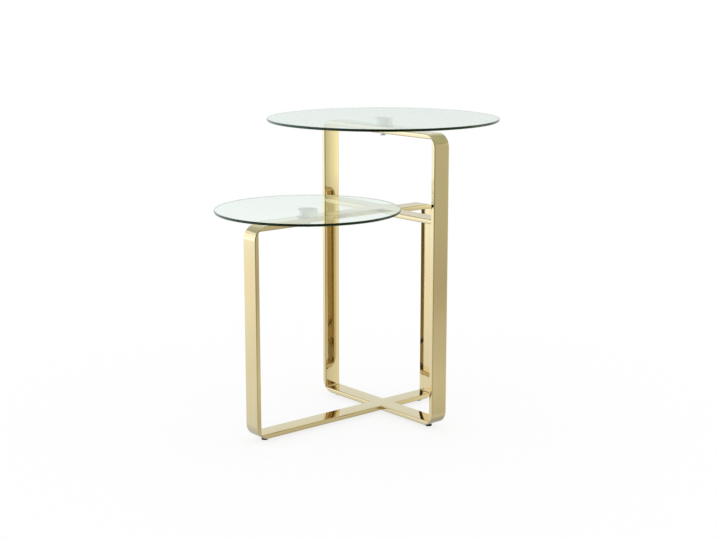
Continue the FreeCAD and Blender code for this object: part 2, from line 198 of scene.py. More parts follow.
def turned(skin, outline, place, segments, rim=None):
    """Adds turned faces: outline is stretches of (radius, height), from below outwards and up.

    Where the rim's radius is given, their run is measured inwards from it."""
    x, y, z = place
    for stretch in outline:
        rows = []
        for k in range(segments + 1):
            a = TURN * (k % segments) / segments
            c, s = math.cos(a), math.sin(a)
            row = []
            for r, h, nr, nh in stretch:
                corner = ((x + r * c, y + r * s, z + h), (nr * c, nr * s, nh))
                row.append(corner if rim is None else (*corner, (rim - r, h)))
            rows.append(row)
        skin.grid(rows, flip=True)


def lathe(name, outline, place, material, segments):
    """A turned piece, with the origin of its outline at a place."""
    skin = Skin()
    widest = max(corner[0] for stretch in outline for corner in stretch)
    turned(skin, outline, place, segments, rim=widest)
    return skin.to_object(name, material)


def crowned(reach, side, crown, turn, steps=10):
    """A face of the tube from one rounding to the next, bulging by its crown.

    Its middle faces the angle turn, at a distance of side."""
    found = []
    c, s = math.cos(math.radians(turn)), math.sin(math.radians(turn))
    for i in range(steps + 1):
        along = reach * (2 * i / steps - 1)
        rise = side - crown * (along / reach) ** 2
        slope = -2 * crown * along / reach**2
        n = math.hypot(1, slope)
        place = (c * rise - s * along, s * rise + c * along)
        found.append((*place, (c + s * slope) / n, (s - c * slope) / n))
    return found


# where the narrow faces and the roundings lie among the eight stretches of the tube's section
NARROW_FACES, ROUNDINGS = (0, 4), (1, 3, 5, 7)


def tube_section():
    """The tube's outer outline, (across its broad face, through its thickness), counter-clockwise."""
    w, t, e = TUBE_WIDTH / 2, TUBE_THICK / 2, TUBE_EDGE
    broad, narrow = w - NARROW_CROWN - e, t - BROAD_CROWN - e
    lean_broad = math.degrees(2 * BROAD_CROWN / broad)
    lean_narrow = math.degrees(2 * NARROW_CROWN / narrow)
    section = []
    for turn, reach, side, crown, lean, next_lean in (
        (0, narrow, w, NARROW_CROWN, lean_narrow, lean_broad),
        (90, broad, t, BROAD_CROWN, lean_broad, lean_narrow),
        (180, narrow, w, NARROW_CROWN, lean_narrow, lean_broad),
        (270, broad, t, BROAD_CROWN, lean_broad, lean_narrow),
    ):
        section.append(crowned(reach, side, crown, turn))
        x = broad if turn in (0, 270) else -broad
        y = narrow if turn in (0, 90) else -narrow
        section.append(arc((x, y), e, turn + lean, turn + 90 - next_lean))
    # a rounding starts and ends on the points of the faces beside it
    for k in ROUNDINGS:
        before, rounding, after = section[k - 1], section[k], section[(k + 1) % 8]
        rounding[0] = (*before[-1][:2], *rounding[0][2:])
        rounding[-1] = (*after[0][:2], *rounding[-1][2:])
    return section


def butt_end(place, outward, beyond):
    """The last stations of a tube that butts on another: it runs on into that one, as if welded flush.

    A station is the outer face's place and direction, then the inner face's."""
    inner = place - outward * TUBE_THICK
    on, sunk = beyond * (TUBE_EDGE + BUTT_OVERLAP), outward * (BROAD_CROWN + BUTT_DIP)
    return [(place, outward, inner, -outward), (place + on - sunk, outward, inner + on + sunk, -outward)]


def loop_path(corners, steps=12):
    """Stations of an open path given by its outer face's corners in its own plane, folded at each.

    The outer face goes round in an even arc, while the inner one runs on to its own tight corner."""
    path = []
    last = len(corners) - 1
    inner_bend = TUBE_THICK + BEND_INNER_ROUND
    for k, corner in enumerate(corners):
        here = Vector(corner)
        if k in (0, last):
            beyond = (here - Vector(corners[1] if k == 0 else corners[-2])).normalized()
            along = -beyond if k == 0 else beyond
            stations = butt_end(here, Vector((along.y, -along.x)), beyond)
            path += stations[::-1] if k == 0 else stations
            continue
        into = (here - Vector(corners[k - 1])).normalized()
        out = (Vector(corners[k + 1]) - here).normalized()
        outer_centre = here + (out - into) * BEND_ROUND
        inner_centre = here + (out - into) * inner_bend
        for i in range(3 * steps + 1):
            outer_turn = QUARTER_TURN * i / (3 * steps)
            outward = -out * math.cos(outer_turn) + into * math.sin(outer_turn)
            # the inner face turns in the middle third only, and is straight before and after it
            inner_turn = QUARTER_TURN * min(1, max(0, i / steps - 1))
            inner_outward = -out * math.cos(inner_turn) + into * math.sin(inner_turn)
            before, after = max(0, 1 - i / steps), max(0, i / steps - 2)
            inner = inner_centre + inner_outward * BEND_INNER_ROUND
            inner += (out * after - into * before) * (BEND_ROUND - inner_bend)
            path.append((outer_centre + outward * BEND_ROUND, outward, inner, -inner_outward))
    return path


def running_lengths(section, path):
    """How far round the section each of its points lies, and how far along the path each station."""
    girths, girth = [], 0
    for stretch in section:
        found = [girth]
        for a, b in zip(stretch, stretch[1:]):
            girth += math.hypot(b[0] - a[0], b[1] - a[1])
            found.append(girth)
        girths.append(found)
    runs = [0]
    for a, b in zip(path, path[1:]):
        runs.append(runs[-1] + ((b[0] - a[0]).length + (b[2] - a[2]).length) / 2)
    return girths, runs


def swept_tube(name, path, to_space, wide, material):
    """The tube's outer skin along a path, capped where it butts on the other bar.

    The broad face lies across the path's plane, along wide."""
    skin = Skin()
    section = tube_section()
    girths, runs = running_lengths(section, path)
    wide = Vector(wide)
    narrow_reach = TUBE_THICK / 2 - TUBE_EDGE - BROAD_CROWN

    def in_space(direction):
        return to_space(direction) - to_space(Vector((0, 0)))

    def corner(k, part, i):
        across, through, n_across, n_through = section[part][i]
        outer, outward, inner, inward = path[k]
        if part in NARROW_FACES:
            high = outer - outward * (TUBE_EDGE + BROAD_CROWN)
            low = inner - inward * (TUBE_EDGE + BROAD_CROWN)
            share = (through / narrow_reach + 1) / 2
            place, lean = low.lerp(high, share), (high - low).normalized()
        elif through > 0:
            place, lean = outer + outward * (through - TUBE_THICK / 2), outward
        else:
            place, lean = inner - inward * (through + TUBE_THICK / 2), -inward
        point = to_space(place) + wide * across
        normal = wide * n_across + in_space(lean) * n_through
        return tuple(point), tuple(normal), (runs[k], girths[part][i])

    for part, stretch in enumerate(section):
        skin.grid([[corner(k, part, i) for i in range(len(stretch))] for k in range(len(path))])
    for k, neighbour in ((0, 1), (len(path) - 1, len(path) - 2)):
        facing = to_space(path[k][0]) - to_space(path[neighbour][0])
        ring = []
        for part, stretch in enumerate(section):
            for i in range(len(stretch) - 1):
                point, _, run = corner(k, part, i)
                ring.append((point, tuple(facing), run))
        skin.face(ring[::-1] if k == 0 else ring)
    return skin.to_object(name, material)


def cut_thread(skin, x, y, low, high, radius, depth, pitch, columns, per_pitch=10):
    """A cut thread between two heights, its ridges at the radius, running out at both ends."""
    count = max(2, round((high - low) / pitch * per_pitch))
    rows = []
    for k in range(count + 1):
        z = low + (high - low) * k / count
        # the thread is cut to its full depth from half a pitch inside its ends
        cut = max(0, min(1, (z - low) / pitch * 2, (high - z) / pitch * 2))
        row = []
        for j in range(columns + 1):
            a = TURN * (j % columns) / columns
            phase = (z / pitch - j / columns) % 1
            ridge = min(1, max(0, THREAD_FLANK * abs(2 * phase - 1) - THREAD_ROOT))
            r = radius - depth * (1 - ridge) * cut - THREAD_RUNOUT * depth * (1 - cut)
            row.append(((x + r * math.cos(a), y + r * math.sin(a), z), None))
        rows.append(row)
    skin.grid(rows)


# ---------------------------------------------------------------- nodes


def feed(tree, value, target):
    """Gives an input either another node's output or a plain number."""
    if isinstance(value, (int, float)):
        target.default_value = value
    else:
        tree.links.new(value, target)


def calculated(tree, operation, *values):
    node = tree.nodes.new("ShaderNodeMath")
    node.operation = operation
    for target, value in zip(node.inputs, values):
        feed(tree, value, target)
    return node.outputs[0]


def noise(tree, coordinates, scale, detail):
    node = tree.nodes.new("ShaderNodeTexNoise")
    node.inputs["Scale"].default_value = 1.0
    node.inputs["Detail"].default_value = detail
    mapping = tree.nodes.new("ShaderNodeMapping")
    mapping.inputs["Scale"].default_value = scale
    tree.links.new(coordinates, mapping.inputs["Vector"])
    tree.links.new(mapping.outputs["Vector"], node.inputs["Vector"])
    return node.outputs["Fac"]


def ranged(tree, value, low, high, start=0.3, end=0.7):
    """From low to high while a value goes from start to end, which for noise are its usual limits."""
    node = tree.nodes.new("ShaderNodeMapRange")
    node.inputs["From Min"].default_value = start
    node.inputs["From Max"].default_value = end
    node.inputs["To Min"].default_value = low
    node.inputs["To Max"].default_value = high
    tree.links.new(value, node.inputs["Value"])
    return node.outputs["Result"]


def blended(tree, factor, first, second):
    """A colour between two, of which the first may also be another node's output."""
    node = tree.nodes.new("ShaderNodeMix")
    node.data_type = "RGBA"
    if isinstance(first, tuple):
        node.inputs["A"].default_value = (*first, 1)
    else:
        tree.links.new(first, node.inputs["A"])
    node.inputs["B"].default_value = (*second, 1)
    tree.links.new(factor, node.inputs["Factor"])
    return node.outputs["Result"]


def bump(tree, shader, height, distance, below=None):
    node = tree.nodes.new("ShaderNodeBump")
    node.inputs["Distance"].default_value = distance
    tree.links.new(height, node.inputs["Height"])
    if below is not None:
        tree.links.new(below, node.inputs["Normal"])
    tree.links.new(node.outputs["Normal"], shader.inputs["Normal"])
    return node.outputs["Normal"]


def object_coordinates(tree):
    return tree.nodes.new("ShaderNodeTexCoord").outputs["Object"]


def run_coordinates(tree):
    """Along the piece and round it, or inwards from a turned piece's rim, in metres."""
    node = tree.nodes.new("ShaderNodeUVMap")
    node.uv_map = "Run"
    return node.outputs["UV"]


def diffuse(tree, grey):
    node = tree.nodes.new("ShaderNodeBsdfDiffuse")
    node.inputs["Color"].default_value = (grey, grey, grey, 1)
    return node.outputs["BSDF"]


def transparent(tree):
    return tree.nodes.new("ShaderNodeBsdfTransparent").outputs["BSDF"]


def mixed(tree, factor, first, second):
    """A mix of two shaders by a factor, which is another node's output or a plain number."""
    node = tree.nodes.new("ShaderNodeMixShader")
    feed(tree, factor, node.inputs["Fac"])
    tree.links.new(first, node.inputs[1])
    tree.links.new(second, node.inputs[2])
    return node.outputs["Shader"]


def blank_material(name):
    material = bpy.data.materials.new(name)
    material.use_nodes = True
    material.node_tree.nodes.clear()
    return material, material.node_tree


def show(tree, surface):
    output = tree.nodes.new("ShaderNodeOutputMaterial")
    tree.links.new(surface, output.inputs["Surface"])
    return output


# ---------------------------------------------------------------- materials


def principled_material(name):
    material, tree = blank_material(name)
    shader = tree.nodes.new("ShaderNodeBsdfPrincipled")
    output = show(tree, shader.outputs["BSDF"])
    return material, tree, shader, output


def toned(tree, shader, place, scale, detail, first, second):
    """Gives a shader a base colour that wanders between two, and returns the noise behind it."""
    tone = noise(tree, place, scale, detail)
    colour = blended(tree, ranged(tree, tone, 0, 1), first, second)
    tree.links.new(colour, shader.inputs["Base Color"])
    return tone


def gold(name, coordinates, wave):
    """Pale gold plating on polished steel, faintly wavy along the drawn tube."""
    material, tree, shader, _ = principled_material(name)
    along = coordinates(tree)
    half_wave = [w * 0.5 for w in wave]
    toned(tree, shader, along, half_wave, 3, (0.59, 0.462, 0.255), (0.61, 0.482, 0.272))
    shader.inputs["Metallic"].default_value = 1
    haze = noise(tree, object_coordinates(tree), (60, 60, 60), detail=4)
    tree.links.new(ranged(tree, haze, 0.03, 0.06), shader.inputs["Roughness"])
    waves = bump(tree, shader, noise(tree, along, wave, detail=1.5), distance=0.00001)
    fine = noise(tree, object_coordinates(tree), (900, 900, 900), detail=2)
    bump(tree, shader, fine, distance=0.0000004, below=waves)
    return material


def grained(name, metallic, first, second, roughness, scale, detail, fineness, distance):
    """A material whose tone and sheen vary a little, with a grain that is fineness times as fine."""
    material, tree, shader, _ = principled_material(name)
    place = object_coordinates(tree)
    tone = toned(tree, shader, place, (scale,) * 3, detail, first, second)
    shader.inputs["Metallic"].default_value = metallic
    tree.links.new(ranged(tree, tone, *roughness), shader.inputs["Roughness"])
    bump(tree, shader, noise(tree, place, (scale * fineness,) * 3, detail=3), distance)
    return material


def metal(name, first, second, roughness, scale, distance):
    """A plated or turned metal."""
    return grained(name, 1, first, second, roughness, scale, detail=4, fineness=3, distance=distance)


def plastic(name, first, second, roughness, scale, distance):
    """A moulded plastic with a fine spark-eroded grain."""
    return grained(name, 0, first, second, roughness, scale, detail=5, fineness=6, distance=distance)


def clear_glass(name, absorbed, density, edge):
    """Clear glass, greenish through its depth, with a ground rim that is darker and less clear."""
    material, tree, shader, output = principled_material(name)
    inward = tree.nodes.new("ShaderNodeSeparateXYZ")
    tree.links.new(run_coordinates(tree), inward.inputs[0])
    fading, faded = GLASS_EDGE * MM * GLASS_GROUND_SHARE, GLASS_EDGE * MM
    edge_share = ranged(tree, inward.outputs["X"], 1, 0, start=fading, end=faded)
    tone = noise(tree, object_coordinates(tree), (9, 9, 9), detail=2)
    face_colour = blended(tree, ranged(tree, tone, 0, 1), (0.996, 0.996, 0.996), (1, 1, 1))
    tree.links.new(blended(tree, edge_share, face_colour, edge), shader.inputs["Base Color"])
    shader.inputs["Transmission Weight"].default_value = 1
    shader.inputs["IOR"].default_value = 1.52
    shader.inputs["Specular Tint"].default_value = (0.6, 0.9, 0.5, 1)
    tree.links.new(ranged(tree, edge_share, 0, 0.12, start=0, end=1), shader.inputs["Roughness"])
    volume = tree.nodes.new("ShaderNodeVolumeAbsorption")
    volume.inputs["Color"].default_value = (*absorbed, 1)
    volume.inputs["Density"].default_value = density
    tree.links.new(volume.outputs["Volume"], output.inputs["Volume"])
    return material


def clear_film(name, first, second, cover):
    """A cured adhesive, so thin that it shows as a faint veil with tiny bubbles."""
    material, tree, shader, _ = principled_material(name)
    bubbles = toned(tree, shader, object_coordinates(tree), (1500, 1500, 1500), 3, first, second)
    shader.inputs["Roughness"].default_value = 0.3
    tree.links.new(ranged(tree, bubbles, *cover), shader.inputs["Alpha"])
    return material


TUBE_GOLD = gold("gold_tube", run_coordinates, (6, 160, 1))
WELD_GOLD = gold("gold_weld", object_coordinates, (300, 300, 300))
GLASS = clear_glass(
    "clear_float_glass",
    absorbed=(0.0, 0.68, 0.35),
    density=12,
    edge=(0.05, 0.17, 0.06),
)
ADHESIVE = clear_film("cured_adhesive", (0.9, 0.91, 0.86), (0.95, 0.95, 0.91), cover=(0.03, 0.08))
ALUMINIUM = metal(
    "satin_aluminium",
    (0.98, 0.94, 0.82),
    (1.0, 0.97, 0.86),
    roughness=(0.5, 0.62),
    scale=500,
    distance=0.000003,
)
ZINC = metal(
    "bright_zinc",
    (0.62, 0.63, 0.65),
    (0.74, 0.75, 0.76),
    roughness=(0.18, 0.3),
    scale=700,
    distance=0.000002,
)
WHITE_NYLON = plastic(
    "white_nylon",
    (0.82, 0.82, 0.78),
    (0.88, 0.88, 0.84),
    roughness=(0.45, 0.6),
    scale=400,
    distance=0.000004,
)
BLACK_NYLON = plastic(
    "black_nylon",
    (0.006, 0.006, 0.006),
    (0.012, 0.011, 0.01),
    roughness=(0.6, 0.8),
    scale=500,
    distance=0.000006,
)

GOLD_SLOT, GLASS_SLOT, ADHESIVE_SLOT = "gold_plated_steel", "clear_glass", "clear_adhesive"
ALUMINIUM_SLOT, ZINC_SLOT = "satin_aluminium", "zinc_plated_steel"
WHITE_SLOT, BLACK_SLOT = "white_nylon", "black_nylon"

# ---------------------------------------------------------------- frame tubes


def placed(piece, body, slot, *nodes):
    """Rides a piece on a body, and has it stand for the CAD nodes that are named. Its slot is not used.
    """
    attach(piece, body)
    if nodes:
        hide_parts(*nodes)


def in_cross_plane(place):
    """From (along Y, up) to the tall loop's plane."""
    return Vector((CROSSING_X, place[0], place[1]))


def in_long_plane(place):
    """From (along X, up) to the low loop's plane."""
    return Vector((place[0], 0, place[1]))


# each path goes round its upright rectangle so that its outward side is on the right
half_tube = TUBE_WIDTH / 2
tall_path = loop_path(
    [
        (half_tube, FOOT_HEIGHT),
        (TALL_REACH, FOOT_HEIGHT),
        (TALL_REACH, TALL_TOP),
        (-TALL_REACH, TALL_TOP),
        (-TALL_REACH, FOOT_HEIGHT),
        (-half_tube, FOOT_HEIGHT),
    ]
)
low_path = loop_path(
    [
        (CROSSING_X - half_tube, LOW_TOP),
        (LOW_FRONT, LOW_TOP),
        (LOW_FRONT, FOOT_HEIGHT),
        (LOW_BACK, FOOT_HEIGHT),
        (LOW_BACK, LOW_TOP),
        (CROSSING_X + half_tube, LOW_TOP),
    ]
)
# the middle rail lies between the tall loop's uprights, its outer face below
mid_reach, mid_low, downward = TALL_REACH - TUBE_THICK, LOW_TOP - TUBE_THICK, Vector((0, -1))
mid_path = butt_end(Vector((-mid_reach, mid_low)), downward, Vector((-1, 0)))[::-1]
mid_path += butt_end(Vector((mid_reach, mid_low)), downward, Vector((1, 0)))

for name, path, to_space, wide in (
    ("tall_loop", tall_path, in_cross_plane, (1, 0, 0)),
    ("low_loop", low_path, in_long_plane, (0, -1, 0)),
    ("mid_rail", mid_path, in_cross_plane, (1, 0, 0)),
):
    placed(swept_tube(f"{name}_tube", path, to_space, wide, TUBE_GOLD), "frame", GOLD_SLOT, name)


def fillet_weld(name, corner, first, second, length, steps=8):
    """The dressed weld in an inside corner, hollow between faces that run off along first and second."""
    corner, first, second = Vector(corner), Vector(first), Vector(second)
    along = first.cross(second)
    centre = corner + (first + second) * WELD_LEG
    hollow = []
    for i in range(steps + 1):
        a = QUARTER_TURN * i / steps
        outward = first * math.cos(a) + second * math.sin(a)
        hollow.append((centre - outward * WELD_LEG, outward))
    skin = Skin()
    ends = [along * -length / 2, along * length / 2]
    skin.grid([[(tuple(point + end), tuple(outward)) for point, outward in hollow] for end in ends])
    root = corner - (first + second) * WELD_SUNK
    hidden = [hollow[-1][0], root, hollow[0][0]]
    skin.grid([[(tuple(point + end), None) for point in hidden] for end in ends])
    cap = [point for point, _ in hollow] + [root]
    for end, facing in ((ends[0], -along), (ends[1], along)):
        ring = [(tuple(point + end), tuple(facing)) for point in cap]
        skin.face(ring[::-1] if facing == along else ring)
    return skin.to_object(name, WELD_GOLD)


# upright welds in the corners of both crossings, then those across the middle rail's ends
upright_length, across_length = TUBE_THICK - 2 * TUBE_EDGE, TUBE_WIDTH - 2 * TUBE_EDGE
welds = []
for level, height in (("bottom", FOOT_HEIGHT + TUBE_THICK / 2), ("mid", LOW_TOP - TUBE_THICK / 2)):
    for x_side, y_side in ((1, 1), (-1, 1), (-1, -1), (1, -1)):
        name = f"{level}_weld_{'back' if x_side > 0 else 'front'}_{'left' if y_side > 0 else 'right'}"
        place = (CROSSING_X + x_side * half_tube, y_side * half_tube, height)
        directions = [(x_side, 0, 0), (0, y_side, 0)]
        welds.append((name, place, *directions[:: x_side * y_side], upright_length))
for y_side, end in ((1, "left"), (-1, "right")):
    for z_side, face, height in ((1, "top", LOW_TOP), (-1, "under", mid_low)):
        place = (CROSSING_X, y_side * mid_reach, height)
        directions = [(0, -y_side, 0), (0, 0, z_side)]
        name = f"mid_rail_weld_{end}_{face}"
        welds.append((name, place, *directions[:: -y_side * z_side], across_length))
for weld in welds:
    placed(fillet_weld(*weld), "frame", GOLD_SLOT)

# ---------------------------------------------------------------- tops and their fastenings


def screw(name, x, z, columns=48):
    """A button head screw with a hexagon socket, head down, its seat at z."""
    skin = Skin()
    angles = [TURN * (k % columns) / columns for k in range(columns + 1)]

    def ring(radii, height, lean=None):
        """Corners round the screw, with one radius or one for each angle, and normals by (out, up)."""
        if not isinstance(radii, list):
            radii = [radii] * len(angles)
        corners = []
        for a, r in zip(angles, radii):
            c, s = math.cos(a), math.sin(a)
            normal = (lean[0] * c, lean[0] * s, lean[1]) if lean else None
            corners.append(((x + r * c, r * s, height), normal))
        return corners

    def socket_radius(a):
        sector = (a + math.pi / 6) % (math.pi / 3) - math.pi / 6
        return SOCKET_FLATS / 2 / math.cos(sector)

    down, side, up = (0, -1), (1, 0), (0, 1)
    socket = [socket_radius(a) for a in angles]
    mouth = [r + SOCKET_MOUTH_FLARE for r in socket]
    crown, tip = z - SCREW_HEAD_HEIGHT, z + SCREW_LENGTH
    floor, throat = crown + SOCKET_DEPTH, crown + SOCKET_MOUTH_DEPTH
    flat_edge = SCREW_HEAD_RADIUS - SCREW_HEAD_ROUND
    skin.grid([[((x, 0, floor + SOCKET_POINT), None)] * (columns + 1), ring(socket, floor)])
    skin.grid([ring(socket, floor), ring(socket, throat)])
    skin.grid([ring(socket, throat), ring(mouth, crown)])
    skin.grid([ring(mouth, crown, down), ring(flat_edge, crown, down)])
    button = []
    for _, _, nr, nh in arc((0, 0), 1, -90, 0, 8):
        r, h = flat_edge + SCREW_HEAD_ROUND * nr, crown + SCREW_HEAD_ROUND * (1 + nh)
        button.append(ring(r, h, (nr, nh)))
    skin.grid(button)
    rim = SCREW_HEAD_RADIUS
    skin.grid([ring(rim, crown + SCREW_HEAD_ROUND, side), ring(rim, z, side)])
    skin.grid([ring(rim, z, up), ring(SCREW_RADIUS, z, up)])
    thread_low, thread_high = z + SCREW_PLAIN_LENGTH, tip - SCREW_TIP_HEIGHT
    skin.grid([ring(SCREW_RADIUS, z, side), ring(SCREW_RADIUS, thread_low, side)])
    thread = SCREW_RADIUS, SCREW_THREAD_DEPTH, SCREW_PITCH
    cut_thread(skin, x, 0, thread_low, thread_high, *thread, columns)
    tip_radius = SCREW_RADIUS - SCREW_TIP_TAPER
    skin.grid([ring(SCREW_RADIUS, thread_high), ring(tip_radius, tip)])
    skin.grid([ring(tip_radius, tip, up), [((x, 0, tip), (0, 0, 1))] * (columns + 1)])
    return skin.to_object(name, ZINC)


def washer(name, x, low, thick, outer, material):
    e, inner = WASHER_EDGE, SCREW_HOLE_RADIUS
    outline = [
        line((inner + e, 0), (outer - e, 0)),
        arc((outer - e, e), e, -90, 0, 3),
        line((outer, e), (outer, thick - e)),
        arc((outer - e, thick - e), e, 0, 90, 3),
        line((outer - e, thick), (inner + e, thick)),
        arc((inner + e, thick - e), e, 90, 180, 3),
        line((inner, thick - e), (inner, e)),
        arc((inner + e, e), e, 180, 270, 3),
    ]
    return lathe(name, outline, (x, 0, low), material, segments=72)


def glass_outline(radius):
    e = GLASS_EDGE
    return [
        line((0, 0), (radius - e, 0), 8),
        arc((radius - e, e), e, -90, 0, 8),
        line((radius, e), (radius, GLASS_THICK - e)),
        arc((radius - e, GLASS_THICK - e), e, 0, 90, 8),
        line((radius - e, GLASS_THICK), (0, GLASS_THICK), 8),
    ]


boss_top_edge = BOSS_RADIUS - BOSS_TOP_ROUND, BOSS_HEIGHT - BOSS_TOP_ROUND
boss_outline = [
    line((0, 0), (BOSS_RADIUS - BOSS_CHAMFER, 0)),
    line((BOSS_RADIUS - BOSS_CHAMFER, 0), (BOSS_RADIUS, BOSS_CHAMFER)),
    line((BOSS_RADIUS, BOSS_CHAMFER), (BOSS_RADIUS, boss_top_edge[1])),
    arc(boss_top_edge, BOSS_TOP_ROUND, 0, 90, 3),
    line((boss_top_edge[0], BOSS_HEIGHT), (0, BOSS_HEIGHT)),
]
film_radius = BOSS_RADIUS - FILM_INSET
film_outline = [
    line((0, 0), (film_radius, 0)),
    arc((film_radius, FILM_THICK / 2), FILM_THICK / 2, -90, 90, 6),
    line((film_radius, FILM_THICK), (0, FILM_THICK)),
]

for tier, (x, glass_radius, rail_top) in TIERS.items():
    boss_low = rail_top + BOSS_WASHER_THICK
    boss_high = boss_low + BOSS_HEIGHT
    glass_place = (x, 0, boss_high + FILM_THICK)
    seat = rail_top - TUBE_THICK - SCREW_WASHER_THICK
    glass = lathe(f"{tier}_glass_top", glass_outline(glass_radius), glass_place, GLASS, segments=288)
    placed(glass, "frame", GLASS_SLOT, f"{tier}_glass")
    boss = lathe(f"{tier}_bonded_boss", boss_outline, (x, 0, boss_low), ALUMINIUM, segments=128)
    placed(boss, "frame", ALUMINIUM_SLOT, f"{tier}_boss")
    film = lathe(f"{tier}_adhesive", film_outline, (x, 0, boss_high), ADHESIVE, segments=128)
    placed(film, "frame", ADHESIVE_SLOT, f"{tier}_bond_film")
    nylon = washer(f"{tier}_nylon_washer", x, rail_top, BOSS_WASHER_THICK, BOSS_RADIUS, WHITE_NYLON)
    placed(nylon, "frame", WHITE_SLOT, f"{tier}_boss_washer")
    flat = washer(f"{tier}_flat_washer", x, seat, SCREW_WASHER_THICK, SCREW_WASHER_RADIUS, ZINC)
    placed(flat, "frame", ZINC_SLOT, f"{tier}_screw_washer")
    placed(screw(f"{tier}_button_screw", x, seat), "frame", ZINC_SLOT, f"{tier}_screw")
    # the sleeve stays as the CAD has it, inside the rail
    sleeve_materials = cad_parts[f"{tier}_rail_sleeve"].data.materials
    sleeve_materials.clear()
    sleeve_materials.append(ZINC)

# ---------------------------------------------------------------- levelling feet

insert_low, insert_high = FOOT_HEIGHT - INSERT_FLANGE_THICK, FOOT_HEIGHT + INSERT_LENGTH
insert_outline = [
    line((INSERT_BORE, insert_low), (INSERT_FLANGE_RADIUS - INSERT_EDGE, insert_low)),
    arc((INSERT_FLANGE_RADIUS - INSERT_EDGE, insert_low + INSERT_EDGE), INSERT_EDGE, -90, 0, 2),
    line((INSERT_FLANGE_RADIUS, insert_low + INSERT_EDGE), (INSERT_FLANGE_RADIUS, FOOT_HEIGHT)),
    line((INSERT_FLANGE_RADIUS, FOOT_HEIGHT), (INSERT_RADIUS, FOOT_HEIGHT)),
    line((INSERT_RADIUS, FOOT_HEIGHT), (INSERT_RADIUS, insert_high)),
    line((INSERT_RADIUS, insert_high), (INSERT_BORE, insert_high)),
    line((INSERT_BORE, insert_high), (INSERT_BORE, insert_low)),
]
seat_floor = PAD_HEIGHT - STUD_HEAD_HEIGHT
pad_foot_edge = PAD_RADIUS - PAD_FOOT_ROUND, PAD_FOOT_ROUND
pad_top_edge = PAD_RADIUS - PAD_TOP_ROUND, PAD_HEIGHT - PAD_TOP_ROUND
pad_outline = [
    line((0, 0), (pad_foot_edge[0], 0)),
    arc(pad_foot_edge, PAD_FOOT_ROUND, -90, 0, 6),
    line((PAD_RADIUS, PAD_FOOT_ROUND), (PAD_RADIUS, pad_top_edge[1])),
    arc(pad_top_edge, PAD_TOP_ROUND, 0, 90, 3),
    line((pad_top_edge[0], PAD_HEIGHT), (PAD_SEAT_RADIUS, PAD_HEIGHT)),
    line((PAD_SEAT_RADIUS, PAD_HEIGHT), (PAD_SEAT_RADIUS, seat_floor)),
    line((PAD_SEAT_RADIUS, seat_floor), (0, seat_floor)),
]


def stud(name, x, y, tip, columns=40):
    """A threaded stud from its head in the pad's seat up to its tip."""
    outline = [
        line((0, seat_floor), (STUD_HEAD_RADIUS, seat_floor)),
        line((STUD_HEAD_RADIUS, seat_floor), (STUD_HEAD_RADIUS, PAD_HEIGHT)),
        line((STUD_HEAD_RADIUS, PAD_HEIGHT), (STUD_RADIUS, PAD_HEIGHT)),
        line((STUD_RADIUS, tip - STUD_TIP), (STUD_RADIUS - STUD_TIP, tip)),
        line((STUD_RADIUS - STUD_TIP, tip), (0, tip)),
    ]
    skin = Skin()
    turned(skin, outline, (x, y, 0), columns)
    thread = STUD_RADIUS, STUD_THREAD_DEPTH, STUD_PITCH
    cut_thread(skin, x, y, PAD_HEIGHT, tip - STUD_TIP, *thread, columns)
    return skin.to_object(name, ZINC)


for foot, (x, y) in FEET.items():
    insert = lathe(f"{foot}_threaded_insert", insert_outline, (x, y, 0), ZINC, segments=48)
    placed(insert, "frame", ZINC_SLOT, f"{foot}_foot_insert")
    body = f"{foot}_foot"
    pad = lathe(f"{foot}_nylon_pad", pad_outline, (x, y, 0), BLACK_NYLON, segments=64)
    placed(pad, body, BLACK_SLOT, f"{foot}_foot_pad")
    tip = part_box(f"{foot}_foot_stud")[1].z / MM
    placed(stud(f"{foot}_threaded_stud", x, y, tip), body, ZINC_SLOT, f"{foot}_foot_stud")

# ---------------------------------------------------------------- studio, in metres

FLOOR_REACH, FLOOR_GREY = 6, 0.8
# how much of the floor's look is its own glow and not light that falls on it
FLOOR_GLOW = 0.8

# the card's bearing and distance from the crossing, and its edges from that line and the floor
CARD_BEARING, CARD_AWAY = math.radians(-47), 1.0
CARD_LEFT, CARD_RIGHT, CARD_LOW, CARD_HIGH = 0.4, -0.06, -0.4, 0.9
# it fades in from its right edge to here, and brightens between these two heights
CARD_FADED_IN, CARD_DIM_TO, CARD_BRIGHT_FROM = 0.09, 0.24, 0.33
CARD_DIM, CARD_BRIGHT = (1.2, 1.25, 1.2), (1.6, 1.75, 1.6)


def flat_stage(name, corners, material):
    """A flat rectangle of the studio, which isn't part of the object."""
    mesh = bpy.data.meshes.new(name)
    mesh.from_pydata([(a, b, 0) for a, b in corners], [], [(0, 1, 2, 3)])
    mesh.materials.append(material)
    piece = bpy.data.objects.new(name, mesh)
    bpy.context.scene.collection.objects.link(piece)
    return piece


def floor_material():
    """Pale floor, near white where it is seen plainly or through glass, with the object's shadow."""
    material, tree = blank_material("pale_floor")
    glow = tree.nodes.new("ShaderNodeEmission")
    paper = mixed(tree, FLOOR_GLOW, diffuse(tree, 1), glow.outputs["Emission"])
    path = tree.nodes.new("ShaderNodeLightPath")
    seen_plainly, seen_through = path.outputs["Is Camera Ray"], path.outputs["Is Transmission Ray"]
    seen = calculated(tree, "MAXIMUM", seen_plainly, seen_through)
    from_above = mixed(tree, seen, diffuse(tree, FLOOR_GREY), paper)
    # from below it is clear, so that the table's underside can be looked at
    below = tree.nodes.new("ShaderNodeNewGeometry").outputs["Backfacing"]
    show(tree, mixed(tree, below, from_above, transparent(tree)))
    return material


